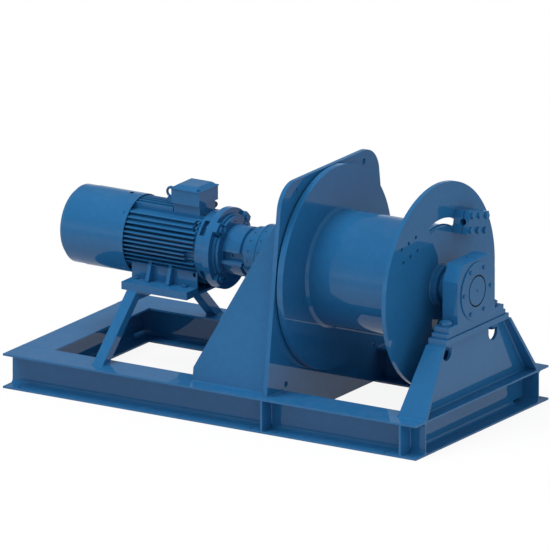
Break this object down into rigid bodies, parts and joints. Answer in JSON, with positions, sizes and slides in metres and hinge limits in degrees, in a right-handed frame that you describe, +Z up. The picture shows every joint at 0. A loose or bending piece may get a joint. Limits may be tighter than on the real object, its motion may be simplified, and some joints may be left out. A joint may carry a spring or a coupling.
{
  "type": "wire rope winch",
  "caption": "Electric wire rope winch on a welded beam frame: motor, gear unit, flanged rope drum with rope clamp, and outboard bearing on a pedestal.",
  "frame": {"origin": "middle of the base frame's footprint, on the floor", "axes": "+X along the drum axis towards the outboard bearing, +Y towards the rear, +Z up"},
  "size_m": [2.05, 1.07, 1.0459],
  "materials": {
    "blue_paint": "glossy",
    "seal_rubber": "satin",
    "machined_steel": "machined",
    "dark_plastic": "satin",
    "core_copper": "satin"
  },
  "bodies": {
    "frame": {"front_beam": "blue_paint", "rear_beam": "blue_paint", "left_cross_beam": "blue_paint", "right_cross_beam": "blue_paint", "web_stiffeners": "blue_paint", "main_plate": "blue_paint", "front_gusset": "blue_paint", "rear_gusset": "blue_paint", "pedestal_web": "blue_paint", "pedestal_front_plate": "blue_paint", "pedestal_rear_plate": "blue_paint", "pedestal_top_plate": "blue_paint", "shim_plate": "blue_paint", "bearing_housing": "blue_paint", "bearing_outer_ring": "machined_steel", "bearing_covers": "blue_paint", "cover_bolts": "blue_paint", "housing_bolts": "blue_paint", "shaft_seal": "seal_rubber", "stand_front_leg": "blue_paint", "stand_rear_leg": "blue_paint", "stand_crossbar": "blue_paint", "motor_base_plate": "blue_paint", "motor_foot_bolts": "blue_paint", "stator_housing": "blue_paint", "stator_core": "core_copper", "non_drive_shield": "blue_paint", "drive_end_shield": "blue_paint", "motor_bearings": "machined_steel", "fan_cowl": "blue_paint", "cowl_end_cap": "blue_paint", "small_screws": "blue_paint", "terminal_box": "blue_paint", "terminal_lid": "blue_paint", "cable_gland": "dark_plastic", "lifting_eye": "blue_paint", "motor_flange_bolts": "blue_paint", "brake_magnet": "dark_plastic", "bell_housing": "blue_paint", "gearbox_housing": "blue_paint", "gearbox_bolts": "blue_paint", "planet_carrier": "machined_steel"},
    "drum": {"drum_barrel": "blue_paint", "inner_flange": "blue_paint", "outer_flange": "blue_paint", "ring_gear": "machined_steel", "drum_shaft": "blue_paint", "bearing_inner_ring": "machined_steel", "rope_clamp_block": "blue_paint", "rope_clamp_plate": "blue_paint", "clamp_bolts": "blue_paint"},
    "rotor": {"rotor_shaft": "machined_steel", "rotor_core": "machined_steel", "cooling_fan": "dark_plastic", "brake_disc": "machined_steel", "shaft_coupling": "machined_steel", "sun_gear": "machined_steel"},
    "planet_1": {"planet_gear_1": "machined_steel"},
    "planet_2": {"planet_gear_2": "machined_steel"},
    "planet_3": {"planet_gear_3": "machined_steel"}
  },
  "joints": [
    {"name": "drum_spin", "type": "hinge", "parent": "frame", "child": "drum", "pos_m": [0, 0, 0.606], "axis": [1, 0, 0], "continuous": true},
    {"name": "input_spin", "type": "hinge", "parent": "frame", "child": "rotor", "pos_m": [0, 0, 0.606], "axis": [1, 0, 0], "continuous": true},
    {"name": "planet_spin_1", "type": "hinge", "parent": "frame", "child": "planet_1", "pos_m": [0, 0, 0.726], "axis": [1, 0, 0], "continuous": true},
    {"name": "planet_spin_2", "type": "hinge", "parent": "frame", "child": "planet_2", "pos_m": [0, -0.10392, 0.546], "axis": [1, 0, 0], "continuous": true},
    {"name": "planet_spin_3", "type": "hinge", "parent": "frame", "child": "planet_3", "pos_m": [0, 0.10392, 0.546], "axis": [1, 0, 0], "continuous": true}
  ],
  "couplings": [
    {"joint": "input_spin", "follows": "drum_spin", "ratio": -4.3333},
    {"joint": "planet_spin_1", "follows": "drum_spin", "ratio": 2.6},
    {"joint": "planet_spin_2", "follows": "drum_spin", "ratio": 2.6},
    {"joint": "planet_spin_3", "follows": "drum_spin", "ratio": 2.6}
  ]
}
